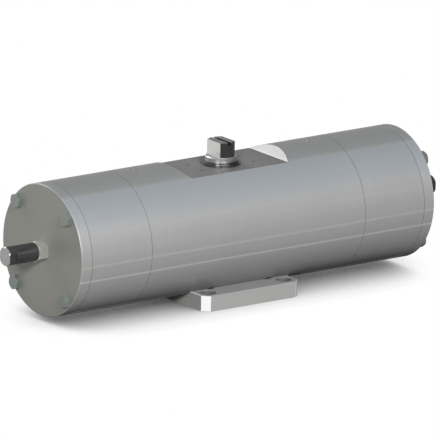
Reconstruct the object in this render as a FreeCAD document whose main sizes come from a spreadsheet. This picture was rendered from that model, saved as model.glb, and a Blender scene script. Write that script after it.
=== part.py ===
import FreeCAD, Part
import math
import os

import Sketcher

# Double-piston, spring-return, quarter-turn pneumatic actuator in stainless steel.
# Row frame: origin at the centre of the mounting face, +Z up the pinion shaft,
# +X along the cylinder, +Y to the rear. Lengths in millimetres.

SIZES = [
    ("foot_drop", 7.5),
    ("body_od", 168.0),
    ("bore_d", 125.0),
    ("body_half", 165.2),
    ("edge_cut", 1.0),
    ("seam_wide", 0.6),
    ("seam_deep", 0.9),
    ("flat_cut", 10.4),
    ("flat_half", 74.0),
    ("plate_side", 149.0),
    ("plate_thick", 20.0),
    ("plate_cut", 8.6),
    ("plate_edge", 0.6),
    ("mount_pcd", 165.0),
    ("mount_hole_d", 17.5),
    ("mount_sink_d", 20.5),
    ("inner_pcd", 125.0),
    ("inner_hole_d", 10.2),
    ("inner_past", 2.0),
    ("namur_x", 80.0),
    ("namur_y", 30.0),
    ("small_tap_d", 4.2),
    ("small_tap_deep", 9.0),
    ("lift_x", 134.0),
    ("lift_tap_d", 8.5),
    ("lift_tap_deep", 14.0),
    ("pad_cut", 6.0),
    ("pad_half", 46.0),
    ("port_d", 11.8),
    ("port_pitch", 24.0),
    ("block_half", 23.0),
    ("block_rise", 18.0),
    ("block_cut", 4.0),
    ("block_inset", 4.25),
    ("block_gap", 0.05),
    ("feed_d", 8.0),
    ("valve_x", 32.0),
    ("valve_z", 24.0),
    ("gallery_d", 5.0),
    ("gallery_inset", 3.25),
    ("gallery_z", 22.0),
    ("gallery_end", 15.0),
    ("riser_d", 3.5),
    ("riser_shift", 4.0),
    ("plug_d", 6.0),
    ("plug_long", 6.0),
    ("housing_long", 91.3),
    ("cap_thick", 16.0),
    ("spigot_long", 8.0),
    ("spigot_gap", 0.1),
    ("bolt_shift", 0.75),
    ("bolt_d", 10.0),
    ("bolt_af", 17.0),
    ("bolt_head", 6.4),
    ("bolt_grip", 20.0),
    ("thread_gap", 0.05),
    ("bolt_clear", 0.4),
    ("stop_d", 16.0),
    ("stop_gap", 0.4),
    ("stop_reach", 44.0),
    ("nut_af", 24.0),
    ("nut_thick", 13.0),
    ("cover_d", 24.0),
    ("cover_long", 44.5),
    ("cover_wall", 4.0),
    ("cover_af", 21.0),
    ("cover_flat", 10.0),
    ("cover_cut", 0.8),
    ("gear_module", 3.0),
    ("gear_play", 0.12),
    ("gear_low", 18.0),
    ("gear_room", 9.0),
    ("rack_half", 14.0),
    ("rack_back", 55.0),
    ("rack_past", 52.0),
    ("piston_face", 58.0),
    ("piston_thick", 30.0),
    ("piston_gap", 0.1),
    ("cup_d", 102.0),
    ("cup_deep", 14.0),
    ("boss_d", 34.0),
    ("groove_wide", 5.0),
    ("groove_deep", 4.0),
    ("band_wide", 10.0),
    ("band_deep", 2.5),
    ("ring_play", 0.05),
    ("pad_long", 70.0),
    ("spring_d", 84.0),
    ("wire_d", 11.0),
    ("spring_turns", 6.5),
    ("journal_d", 60.0),
    ("journal_low", 1.0),
    ("journal_top", 62.0),
    ("socket_af", 36.0),
    ("socket_deep", 42.0),
    ("neck_d", 39.4),
    ("collar_rise", 10.6),
    ("head_d", 35.4),
    ("head_af", 22.8),
    ("shaft_rise", 30.0),
    ("slot_wide", 4.0),
    ("slot_deep", 4.0),
    ("head_cut", 0.8),
    ("bush_wall", 4.0),
    ("bush_long", 14.0),
    ("wall_play", 0.4),
    ("thrust_thick", 3.0),
    ("washer_d", 50.2),
    ("washer_thick", 3.0),
    ("clip_d", 44.8),
    ("clip_thick", 2.3),
    ("clip_groove", 1.2),
    ("clip_mouth", 14.0),
    ("seal_thick", 3.0),
]

# Places that follow from the sizes above, measured from the cylinder's axis.
PLACES = {
    "axis_height": "(body_od / 2 + foot_drop)",
    "flat_height": "(body_od / 2 - flat_cut)",
    "pad_offset": "(body_od / 2 - pad_cut)",
    "gallery_y": "((bore_d + body_od) / 4 - gallery_inset)",
    "block_back": "((bore_d + body_od) / 4 - block_inset)",
    "bolt_pcd": "((bore_d + body_od) / 2 + 2 * bolt_shift)",
    "riser_x": "(port_pitch / 2 - riser_shift)",
    "gear_high": "(bore_d / 2 - gear_room)",
    "collar_top": "(body_od / 2 - flat_cut + collar_rise)",
}

doc = FreeCAD.newDocument("actuator")
sheet = doc.addObject("Spreadsheet::Sheet", "Sizes")
for row, (word, number) in enumerate(SIZES, start=1):
    sheet.set("A" + str(row), word)
    sheet.set("B" + str(row), str(number))
    sheet.setAlias("B" + str(row), word)
doc.recompute()

nodes = []


def size(word):
    """The value that the sheet holds under this alias."""
    return float(sheet.get(word))


def bound(text):
    """An expression in which each alias is led to the sheet."""
    words = [word for word, number in SIZES]
    for place, meaning in PLACES.items():
        text = text.replace(place, meaning)
    out = ""
    token = ""
    for letter in text + " ":
        if letter.isalnum() or letter == "_":
            token += letter
            continue
        if token in words:
            token = "Sizes." + token
        out += token + letter
        token = ""
    return out.strip()


def new_body(label, turned=False):
    """A body whose own X axis is the cylinder's axis; turned ones face the other end."""
    body = doc.addObject("PartDesign::Body", label)
    body.Label = label
    if turned:
        body.Placement = FreeCAD.Placement(FreeCAD.Vector(), FreeCAD.Rotation(180, 0, 0))
    body.setExpression(".Placement.Base.z", bound("axis_height"))
    nodes.append(body)
    return body


def plane(body, role):
    """One of the body's own origin planes."""
    return [item for item in body.Origin.OriginFeatures if item.Role == role][0]


def new_sketch(body, role, offset=None):
    """An empty sketch on an origin plane, moved along its normal where offset is given."""
    sketch = body.newObject("Sketcher::SketchObject", body.Label + "_sketch")
    sketch.AttachmentSupport = [(plane(body, role), "")]
    sketch.MapMode = "FlatFace"
    if offset:
        sketch.setExpression(".AttachmentOffset.Base.z", bound(offset))
    return sketch


def pin_point(sketch, edge, end, across, upward):
    """Hold one point at bound distances from the sketch's origin."""
    for kind, text in (("DistanceX", across), ("DistanceY", upward)):
        at = sketch.getPoint(edge, end)
        start = at.x if kind == "DistanceX" else at.y
        number = sketch.addConstraint(Sketcher.Constraint(kind, -1, 1, edge, end, start))
        sketch.setExpression("Constraints[" + str(number) + "]", bound(text))


def draw_outline(sketch, points):
    """A closed outline of straight lines through points given as pairs of expressions."""
    first = sketch.GeometryCount
    count = len(points)
    rough = []
    for index in range(count):
        turn = 2 * math.pi * index / count
        rough.append(FreeCAD.Vector(50 * math.cos(turn) + 60, 50 * math.sin(turn) + 60, 0))
    for index in range(count):
        line = Part.LineSegment(rough[index], rough[(index + 1) % count])
        sketch.addGeometry(line, False)
    for index in range(count):
        following = first + (index + 1) % count
        sketch.addConstraint(Sketcher.Constraint("Coincident", first + index, 2, following, 1))
    for index, (across, upward) in enumerate(points):
        pin_point(sketch, first + index, 1, across, upward)


def draw_circle(sketch, across, upward, radius):
    """A circle with bound centre and radius."""
    middle = FreeCAD.Vector(20, 20, 0)
    edge = sketch.addGeometry(Part.Circle(middle, FreeCAD.Vector(0, 0, 1), 5), False)
    pin_point(sketch, edge, 3, across, upward)
    number = sketch.addConstraint(Sketcher.Constraint("Radius", edge, 5))
    sketch.setExpression("Constraints[" + str(number) + "]", bound(radius))


def draw_fixed(sketch, points):
    """A closed outline through worked-out points, such as a tooth's flanks."""
    first = sketch.GeometryCount
    count = len(points)
    for index in range(count):
        start = FreeCAD.Vector(points[index][0], points[index][1], 0)
        finish = FreeCAD.Vector(points[(index + 1) % count][0], points[(index + 1) % count][1], 0)
        sketch.addGeometry(Part.LineSegment(start, finish), False)
    for index in range(count):
        following = first + (index + 1) % count
        sketch.addConstraint(Sketcher.Constraint("Coincident", first + index, 2, following, 1))


def feature(body, kind, sketch):
    """A feature of the body that uses this sketch."""
    item = body.newObject("PartDesign::" + kind, body.Label + "_" + kind.lower())
    item.Profile = sketch
    sketch.Visibility = False
    return item


def turn_about(body, kind, points, axis, role="XZ_Plane"):
    """A revolved solid or cut; the profile lies in the XZ plane."""
    sketch = new_sketch(body, role)
    draw_outline(sketch, points)
    doc.recompute()
    item = feature(body, kind, sketch)
    item.ReferenceAxis = (sketch, [axis])
    item.Angle = 360.0
    doc.recompute()
    return item


def raise_pad(body, sketch, length):
    """A pad from the sketch's plane towards its normal."""
    doc.recompute()
    item = feature(body, "Pad", sketch)
    item.setExpression("Length", bound(length))
    doc.recompute()
    return item


def sink(body, sketch, length, both=False):
    """A pocket from the sketch's plane towards its normal, or to both sides of it."""
    doc.recompute()
    before = body.Shape.Volume
    item = feature(body, "Pocket", sketch)
    item.Reversed = not both
    item.Midplane = both
    item.setExpression("Length", bound(length))
    doc.recompute()
    if body.Shape.Volume >= before:
        raise RuntimeError("a pocket of " + body.Label + " cuts nothing")
    return item


def sink_cone(body, sketch, depth):
    """A 45 degree countersink from the sketch's plane against its normal."""
    doc.recompute()
    before = body.Shape.Volume
    item = feature(body, "Pocket", sketch)
    item.setExpression("Length", bound(depth))
    item.TaperAngle = -45.0
    doc.recompute()
    if body.Shape.Volume >= before:
        raise RuntimeError("a countersink of " + body.Label + " cuts nothing")
    return item


def break_top_edges(body, pad, amount):
    """A small chamfer along the upper edges of a pad."""
    top = pad.Shape.BoundBox.ZMax
    names = []
    for number, edge in enumerate(pad.Shape.Edges, start=1):
        if edge.BoundBox.ZMin > top - 0.001:
            names.append("Edge" + str(number))
    item = body.newObject("PartDesign::Chamfer", body.Label + "_chamfer")
    item.Base = (pad, names)
    item.setExpression("Size", bound(amount))
    pad.Visibility = False
    doc.recompute()
    return item


def ring_body(label, inner, outer, low, high, turned=False):
    """A plain ring about the cylinder's axis."""
    body = new_body(label, turned)
    points = [(low, inner), (high, inner), (high, outer), (low, outer)]
    turn_about(body, "Revolution", points, "H_Axis")
    return body


def upright_ring(label, inner, outer, low, high):
    """A plain ring about the shaft."""
    body = new_body(label)
    points = [(inner, low), (outer, low), (outer, high), (inner, high)]
    turn_about(body, "Revolution", points, "V_Axis")
    return body


# Places that several pieces share.
BORE = "bore_d / 2"
OUTER = "body_od / 2"
JOINT = "body_half + housing_long"
CAP_FACE = "(body_half + housing_long + cap_thick)"
PITCH_RADIUS = "gear_module * 8"
STROKE = "(gear_module * 8 * pi / 2)"
PLATE_LOW = "-axis_height"
PLATE_TOP = "(plate_thick - axis_height)"
BUSH_LOW_START = "(14 - axis_height)"
BUSH_TOP_START = "(gear_high + thrust_thick)"
SEAL_TOP = "(flat_height - 6)"
SIGNS = (1, -1)


def four_spots(across, upward):
    """Four centres in a rectangle about the origin, from its half sizes as expressions."""
    return [(left + across, low + upward) for left in ("", "-") for low in ("", "-")]


def diagonal_spots(circle):
    """Four centres at 45 degrees on a circle whose diameter is given."""
    reach = circle + " / 2 * 0.70710678"
    return four_spots(reach, reach)


def cut_corners(wide, tall, cut):
    """Corners of a rectangle about the origin, from its half sizes, each cut at 45 degrees."""
    near = "(" + wide + " - " + cut + ")"
    low = "(" + tall + " - " + cut + ")"
    return [
        (wide, "-" + low), (wide, low), (near, tall), ("-" + near, tall),
        ("-" + wide, low), ("-" + wide, "-" + low), ("-" + near, "-" + tall), (near, "-" + tall),
    ]


def draw_circles(sketch, spots, radius):
    """One circle at each centre."""
    for across, upward in spots:
        draw_circle(sketch, across, upward, radius)


def make_main_body():
    """Cylinder with top pad, mounting plate, valve pad, bores and tapped holes."""
    body = new_body("main_body")
    sketch = new_sketch(body, "XY_Plane", PLATE_LOW)
    draw_outline(sketch, cut_corners("plate_side / 2", "plate_side / 2", "plate_cut"))
    plate = raise_pad(body, sketch, "plate_thick")
    break_top_edges(body, plate, "plate_edge")

    points = [
        ("-body_half", BORE),
        ("-body_half", OUTER + " - seam_deep"),
        ("-body_half + seam_wide", OUTER + " - seam_deep"),
        ("-body_half + seam_wide", OUTER),
        ("body_half - seam_wide", OUTER),
        ("body_half - seam_wide", OUTER + " - seam_deep"),
        ("body_half", OUTER + " - seam_deep"),
        ("body_half", BORE),
    ]
    turn_about(body, "Revolution", points, "H_Axis")

    top = "(flat_height + 20)"
    sketch = new_sketch(body, "XZ_Plane")
    outline = [
        ("-flat_half", "flat_height"), ("flat_half", "flat_height"),
        ("flat_half + 20", top), ("-flat_half - 20", top),
    ]
    draw_outline(sketch, outline)
    sink(body, sketch, "body_od", both=True)

    low_hole = "(journal_d / 2 + wall_play)"
    low_seat = "(journal_d / 2 + bush_wall)"
    top_hole = "(neck_d / 2 + wall_play)"
    top_seat = "(neck_d / 2 + bush_wall)"
    points = [
        ("0", "-axis_height - 2"),
        (low_hole, "-axis_height - 2"),
        (low_hole, BUSH_LOW_START),
        (low_seat, BUSH_LOW_START),
        (low_seat, "-bore_d / 2 + 20"),
        (top_seat, "-bore_d / 2 + 20"),
        (top_seat, SEAL_TOP),
        (top_hole, SEAL_TOP),
        (top_hole, top),
        ("0", top),
    ]
    turn_about(body, "Groove", points, "V_Axis")

    # Two patterns of tapped mounting holes; the inner ones end under the cylinder's flank.
    sketch = new_sketch(body, "XY_Plane", PLATE_LOW)
    draw_circles(sketch, diagonal_spots("mount_pcd"), "mount_hole_d / 2")
    sink(body, sketch, "plate_thick + 1")
    sketch = new_sketch(body, "XY_Plane", PLATE_TOP)
    draw_circles(sketch, diagonal_spots("mount_pcd"), "mount_sink_d / 2")
    sink_cone(body, sketch, "(mount_sink_d - mount_hole_d) / 2")
    sketch = new_sketch(body, "XY_Plane", PLATE_LOW)
    draw_circles(sketch, diagonal_spots("inner_pcd"), "inner_hole_d / 2")
    sink(body, sketch, "plate_thick + inner_past")

    # Accessory holes on the top pad, and the lifting threads beside it.
    sketch = new_sketch(body, "XY_Plane", "flat_height - small_tap_deep")
    draw_circles(sketch, four_spots("namur_x / 2", "namur_y / 2"), "small_tap_d / 2")
    sink(body, sketch, "small_tap_deep + 20")
    sketch = new_sketch(body, "XY_Plane", OUTER + " - lift_tap_deep")
    draw_circles(sketch, [("lift_x", "0"), ("-lift_x", "0")], "lift_tap_d / 2")
    sink(body, sketch, "lift_tap_deep + 5")

    # Valve pad on the rear, the valve block's pocket in it, and the first port's drilling.
    sketch = new_sketch(body, "XY_Plane")
    outline = [
        ("-pad_half", "pad_offset"), ("pad_half", "pad_offset"),
        ("pad_half", "body_od"), ("-pad_half", "body_od"),
    ]
    draw_outline(sketch, outline)
    sink(body, sketch, "body_od", both=True)
    sketch = new_sketch(body, "XZ_Plane", "-body_od")
    pocket = cut_corners("(block_half + block_gap)", "(block_rise + block_gap)", "block_cut")
    draw_outline(sketch, pocket)
    sink(body, sketch, "body_od - block_back")
    sketch = new_sketch(body, "XZ_Plane", "-body_od")
    draw_circle(sketch, "-port_pitch / 2", "0", "feed_d / 2")
    sink(body, sketch, "body_od - bore_d / 2 + 8")

    # Drilled air gallery from the second port to the spring chambers.
    sketch = new_sketch(body, "YZ_Plane", "-body_half - 5")
    draw_circle(sketch, "gallery_y", "gallery_z", "gallery_d / 2")
    sink(body, sketch, "2 * body_half + 10")
    sketch = new_sketch(body, "XZ_Plane", "-gallery_y")
    for across in ("", "-"):
        place = across + "(body_half - gallery_end)"
        draw_circle(sketch, place, "gallery_z", "gallery_d / 2 - 0.5")
    sink(body, sketch, "20")
    sketch = new_sketch(body, "XY_Plane")
    draw_circle(sketch, "riser_x", "gallery_y + 1", "riser_d / 2")
    sink(body, sketch, "body_od")
    sketch = new_sketch(body, "XY_Plane", "gallery_z + gallery_d")
    draw_circle(sketch, "riser_x", "gallery_y + 1", "plug_d / 2")
    sink(body, sketch, "body_od")

    # Threads for the cap bolts in both ends.
    for offset in ("body_half - bolt_grip - 2", "-body_half - 1"):
        sketch = new_sketch(body, "YZ_Plane", offset)
        draw_circles(sketch, diagonal_spots("bolt_pcd"), "bolt_d / 2 + thread_gap")
        sink(body, sketch, "bolt_grip + 3")
    return body


def make_valve_block():
    """Block with the two ports and the valve's four threads, brazed into the cylinder's wall."""
    body = new_body("valve_block")
    sketch = new_sketch(body, "XZ_Plane", "-pad_offset")
    draw_outline(sketch, cut_corners("block_half", "block_rise", "block_cut"))
    raise_pad(body, sketch, "pad_offset - block_back")
    sketch = new_sketch(body, "XZ_Plane", "-pad_offset - 1")
    draw_circles(sketch, [("port_pitch / 2", "0"), ("-port_pitch / 2", "0")], "port_d / 2")
    sink(body, sketch, "pad_offset - block_back + 2")
    sketch = new_sketch(body, "XZ_Plane", "-pad_offset - 1")
    draw_circles(sketch, four_spots("valve_x / 2", "valve_z / 2"), "small_tap_d / 2")
    sink(body, sketch, "pad_offset - block_back + 2")
    sketch = new_sketch(body, "XY_Plane")
    draw_circle(sketch, "riser_x", "gallery_y + 1", "riser_d / 2")
    sink(body, sketch, "block_rise + 2")


def make_gallery_plug():
    """Plug over the drilling that joins the second port to the gallery."""
    body = new_body("gallery_plug")
    sketch = new_sketch(body, "XY_Plane", "gallery_z + gallery_d")
    draw_circle(sketch, "riser_x", "gallery_y + 1", "plug_d / 2 - thread_gap")
    raise_pad(body, sketch, "plug_long")


def make_housing(side, turned):
    """Tube that the spring works in, with a face groove for its seal."""
    body = new_body("spring_housing_" + side, turned)
    seat = "(" + BORE + " + 2)"
    points = [
        ("body_half", BORE),
        ("body_half", seat),
        ("body_half + seal_thick - 1", seat),
        ("body_half + seal_thick - 1", seat + " + seal_thick"),
        ("body_half", seat + " + seal_thick"),
        ("body_half", OUTER),
        (JOINT, OUTER),
        (JOINT, BORE),
    ]
    turn_about(body, "Revolution", points, "H_Axis")
    sketch = new_sketch(body, "YZ_Plane", "body_half - 5")
    draw_circles(sketch, diagonal_spots("bolt_pcd"), "bolt_d / 2 + bolt_clear")
    sink(body, sketch, "housing_long + 10")
    low = "body_half + 0.02"
    high = "body_half + seal_thick - 1.02"
    ring_body("housing_seal_" + side, seat + " + 0.02", seat + " + seal_thick - 0.02",
              low, high, turned)


def make_cap(side, turned):
    """End cap with spigot, seal groove, bolt holes and the thread of the stop screw."""
    body = new_body("end_cap_" + side, turned)
    rim = "(" + BORE + " - spigot_gap)"
    mid = "(" + JOINT + " - spigot_long / 2)"
    hole = "(stop_d / 2 + thread_gap)"
    points = [
        (JOINT + " - spigot_long", hole),
        (JOINT + " - spigot_long", rim),
        (mid + " - seal_thick / 2", rim),
        (mid + " - seal_thick / 2", rim + " - seal_thick + 0.5"),
        (mid + " + seal_thick / 2", rim + " - seal_thick + 0.5"),
        (mid + " + seal_thick / 2", rim),
        (JOINT, rim),
        (JOINT, OUTER + " - seam_deep"),
        (JOINT + " + seam_wide", OUTER + " - seam_deep"),
        (JOINT + " + seam_wide", OUTER),
        (CAP_FACE + " - edge_cut", OUTER),
        (CAP_FACE, OUTER + " - edge_cut"),
        (CAP_FACE, hole),
    ]
    turn_about(body, "Revolution", points, "H_Axis")
    sketch = new_sketch(body, "YZ_Plane", JOINT + " - 1")
    draw_circles(sketch, diagonal_spots("bolt_pcd"), "bolt_d / 2 + bolt_clear")
    sink(body, sketch, "cap_thick + 5")
    ring_body("cap_seal_" + side, rim + " - seal_thick + 0.52", BORE + " - 0.03",
              mid + " - seal_thick / 2 + 0.02", mid + " + seal_thick / 2 - 0.02", turned)


def hex_head(across_flats, low, high):
    """Hexagon head along X, its corners turned down at the high end."""
    corner = across_flats / math.sqrt(3)
    points = []
    for index in range(7):
        turn = math.radians(60 * index + 20)
        points.append(FreeCAD.Vector(low, corner * math.cos(turn), corner * math.sin(turn)))
    bar = Part.Face(Part.makePolygon(points)).extrude(FreeCAD.Vector(high - low, 0, 0))
    crown = across_flats * 0.48
    slope = (high - low) * math.tan(math.radians(60))
    cone = Part.makeCone(crown + slope, crown, high - low, FreeCAD.Vector(low, 0, 0),
                         FreeCAD.Vector(1, 0, 0))
    return bar.common(cone)


def make_bolts(side, turned):
    """Four long hexagon bolts that clamp cap and housing to the main body."""
    face = size("body_half") + size("housing_long") + size("cap_thick")
    end = size("body_half") - size("bolt_grip")
    head = hex_head(size("bolt_af"), face, face + size("bolt_head"))
    radius = size("bolt_d") / 2
    axis = FreeCAD.Vector(1, 0, 0)
    shank = Part.makeCylinder(radius, face - end, FreeCAD.Vector(end, 0, 0), axis)
    bolt = head.fuse(shank).removeSplitter()
    circle = (size("bore_d") + size("body_od")) / 4 + size("bolt_shift")
    reach = circle * math.sqrt(0.5)
    copies = []
    for across in SIGNS:
        for upward in SIGNS:
            copy = bolt.copy()
            copy.translate(FreeCAD.Vector(0, across * reach, upward * reach))
            copies.append(copy)
    item = doc.addObject("Part::Feature", "cap_bolts_" + side)
    item.Label = "cap_bolts_" + side
    item.Shape = Part.Compound(copies)
    place_turned(item, turned)
    nodes.append(item)


def place_turned(item, turned):
    """Put a shape made about the cylinder's axis on its end of the cylinder."""
    spin = 180 if turned else 0
    rise = FreeCAD.Vector(0, 0, size("body_od") / 2 + size("foot_drop"))
    item.Placement = FreeCAD.Placement(rise, FreeCAD.Rotation(spin, 0, 0))


def make_stop(side, turned):
    """Stop screw with its lock nut and round cover."""
    start = "(piston_face + piston_thick + " + STROKE + " + stop_gap)"
    finish = "(" + CAP_FACE + " + stop_reach)"
    radius = "stop_d / 2"
    body = new_body("stop_screw_" + side, turned)
    points = [
        (start, "0"),
        (start, radius + " - 2"),
        (start + " + 2", radius),
        (finish + " - 1", radius),
        (finish, radius + " - 1"),
        (finish, "0"),
    ]
    turn_about(body, "Revolution", points, "H_Axis")

    body = new_body("lock_nut_" + side, turned)
    sketch = new_sketch(body, "YZ_Plane", CAP_FACE)
    corner = "nut_af / 1.7320508"
    slope = "nut_af / 3.4641016"
    outline = [
        ("0", corner), ("-nut_af / 2", slope), ("-nut_af / 2", "-" + slope),
        ("0", "-" + corner), ("nut_af / 2", "-" + slope), ("nut_af / 2", slope),
    ]
    draw_outline(sketch, outline)
    raise_pad(body, sketch, "nut_thick")
    sketch = new_sketch(body, "YZ_Plane", CAP_FACE + " - 1")
    draw_circle(sketch, "0", "0", "stop_d / 2 + thread_gap")
    sink(body, sketch, "nut_thick + 2")
    lip = "(" + CAP_FACE + " + nut_thick)"
    points = [
        (lip, "nut_af / 2 - 0.2"), (lip, "nut_af"),
        (lip + " - (nut_af / 2 + 0.2) * 0.5", "nut_af"),
    ]
    turn_about(body, "Groove", points, "H_Axis")

    body = new_body("stop_cover_" + side, turned)
    tip = "(" + lip + " + cover_long)"
    inner = "(stop_d / 2 + thread_gap)"
    points = [
        (lip, inner),
        (lip, "cover_d / 2 - cover_cut"),
        (lip + " + cover_cut", "cover_d / 2"),
        (tip + " - cover_cut", "cover_d / 2"),
        (tip, "cover_d / 2 - cover_cut"),
        (tip, "0"),
        (tip + " - cover_wall", "0"),
        (tip + " - cover_wall", inner),
    ]
    turn_about(body, "Revolution", points, "H_Axis")
    sketch = new_sketch(body, "XY_Plane")
    for sign in ("", "-"):
        outline = [
            (tip + " - cover_flat", sign + "cover_af / 2"), (tip + " + 1", sign + "cover_af / 2"),
            (tip + " + 1", sign + "cover_d"), (tip + " - cover_flat", sign + "cover_d"),
        ]
        draw_outline(sketch, outline)
    sink(body, sketch, "2 * cover_d", both=True)


def rack_outline():
    """One gap between two rack teeth, about the pitch line, as x and depth."""
    module = size("gear_module")
    slant = math.tan(math.radians(20))
    half = module * math.pi / 4 + size("gear_play") / 2
    tip = 0.85 * module
    root = 1.2 * module
    return [
        (half + slant * (tip + 1), tip + 1),
        (half - slant * root, -root),
        (-half + slant * root, -root),
        (-half - slant * (tip + 1), tip + 1),
    ]


def make_piston(side, turned):
    """Piston in one piece with its rack, which passes the pinion on the front side."""
    body = new_body("piston_" + side, turned)
    back = "(piston_face + piston_thick)"
    rim = "(" + BORE + " - piston_gap)"
    seal = "(" + back + " - 8)"
    band = "(piston_face + 3)"
    points = [
        ("piston_face", "0"),
        ("piston_face", rim),
        (band, rim),
        (band, rim + " - band_deep"),
        (band + " + band_wide", rim + " - band_deep"),
        (band + " + band_wide", rim),
        (seal + " - groove_wide / 2", rim),
        (seal + " - groove_wide / 2", rim + " - groove_deep"),
        (seal + " + groove_wide / 2", rim + " - groove_deep"),
        (seal + " + groove_wide / 2", rim),
        (back, rim),
        (back, "cup_d / 2"),
        (back + " - cup_deep", "cup_d / 2"),
        (back + " - cup_deep", "boss_d / 2"),
        (back, "boss_d / 2"),
        (back, "0"),
    ]
    turn_about(body, "Revolution", points, "H_Axis")

    face = "(" + PITCH_RADIUS + " - gear_module * 0.85)"
    sketch = new_sketch(body, "XY_Plane", "-rack_half")
    outline = [
        ("-rack_past", "-" + face), ("piston_face + 5", "-" + face),
        ("piston_face + 5", "-rack_back"), ("-rack_past", "-rack_back"),
    ]
    draw_outline(sketch, outline)
    raise_pad(body, sketch, "2 * rack_half")

    # Straight-sided teeth, cut as gaps; the gaps stand half a pitch from the middle.
    module = size("gear_module")
    pitch = math.pi * module
    reach = size("rack_past")
    line = 8 * module
    first = -math.floor(reach / pitch - 0.5) - 0.5
    count = int(math.floor(reach / pitch - 0.5) + math.floor(size("piston_face") / pitch - 0.9))
    sketch = new_sketch(body, "XY_Plane", "-rack_half - 1")
    for index in range(count):
        middle = (first + index) * pitch
        gap = [(middle + x, -line + depth) for x, depth in rack_outline()]
        draw_fixed(sketch, gap)
    sink(body, sketch, "2 * rack_half + 2")

    sketch = new_sketch(body, "XY_Plane", "-rack_half + 3")
    outline = [
        ("-rack_past + 6", "-rack_back - 1"), ("-rack_past + 6 + pad_long", "-rack_back - 1"),
        ("-rack_past + 6 + pad_long", "-rack_back + 2"), ("-rack_past + 6", "-rack_back + 2"),
    ]
    draw_outline(sketch, outline)
    sink(body, sketch, "2 * rack_half - 6")

    # Sliding pad behind the rack: flat inside, round outside like the bore.
    pad = new_body("rack_pad_" + side, turned)
    rise = "(rack_half - 3.05)"
    sketch = new_sketch(pad, "XY_Plane", "-" + rise)
    outline = [
        ("-rack_past + 6.05", "-" + BORE), ("-rack_past + 5.95 + pad_long", "-" + BORE),
        ("-rack_past + 5.95 + pad_long", "-rack_back + 2"), ("-rack_past + 6.05", "-rack_back + 2"),
    ]
    draw_outline(sketch, outline)
    raise_pad(pad, sketch, "2 * " + rise)
    points = [
        ("-rack_past", BORE + " - piston_gap"), ("piston_face", BORE + " - piston_gap"),
        ("piston_face", BORE + " + 9"), ("-rack_past", BORE + " + 9"),
    ]
    turn_about(pad, "Groove", points, "H_Axis")

    ring_body("piston_seal_" + side, rim + " - groove_deep + ring_play", BORE + " - ring_play",
              seal + " - groove_wide / 2 + ring_play", seal + " + groove_wide / 2 - ring_play",
              turned)
    ring_body("piston_band_" + side, rim + " - band_deep + ring_play", BORE + " - ring_play",
              band + " + ring_play", band + " + band_wide - ring_play", turned)


def make_spring(side, turned):
    """Return spring between the piston's cup and the cap, with ground ends."""
    low = size("piston_face") + size("piston_thick") - size("cup_deep")
    high = size("body_half") + size("housing_long") - size("spigot_long")
    wire = size("wire_d") / 2
    radius = size("spring_d") / 2
    span = high - low
    pitch = (span - wire) / size("spring_turns")
    helix = Part.makeHelix(pitch, pitch * size("spring_turns"), radius)
    circle = Part.makeCircle(wire, FreeCAD.Vector(radius, 0, 0), FreeCAD.Vector(0, 1, 0))
    coil = Part.Wire(helix).makePipeShell([Part.Wire(circle)], True, True)
    coil.translate(FreeCAD.Vector(0, 0, wire / 2))
    block = Part.makeCylinder(radius + 2 * wire, span)
    coil = coil.common(block)
    item = doc.addObject("Part::Feature", "spring_" + side)
    item.Label = "spring_" + side
    item.Shape = coil
    place_turned(item, turned)
    laid = FreeCAD.Placement(FreeCAD.Vector(low, 0, 0), FreeCAD.Rotation(FreeCAD.Vector(0, 1, 0), 90))
    item.Placement = item.Placement.multiply(laid)
    nodes.append(item)


def tooth_gap():
    """Outline of one gap between pinion teeth, about the X axis, with involute flanks."""
    module = size("gear_module")
    pitch_radius = 8 * module
    base = pitch_radius * math.cos(math.radians(20))
    tip = pitch_radius + module
    root = pitch_radius - 1.15 * module
    rolled = math.tan(math.radians(20)) - math.radians(20)
    half_gap = math.pi / 32 + size("gear_play") / 2 / pitch_radius
    flank = []
    steps = 5
    for index in range(steps + 1):
        radius = base + (tip + 0.6 - base) * index / steps
        slope = math.acos(base / radius)
        turn = half_gap - rolled + math.tan(slope) - slope
        flank.append((radius, turn))
    upper = [(radius * math.cos(turn), radius * math.sin(turn)) for radius, turn in flank]
    foot = flank[0][1]
    upper.insert(0, (root * math.cos(foot), root * math.sin(foot)))
    lower = [(x, -y) for x, y in reversed(upper)]
    return upper + lower


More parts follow.
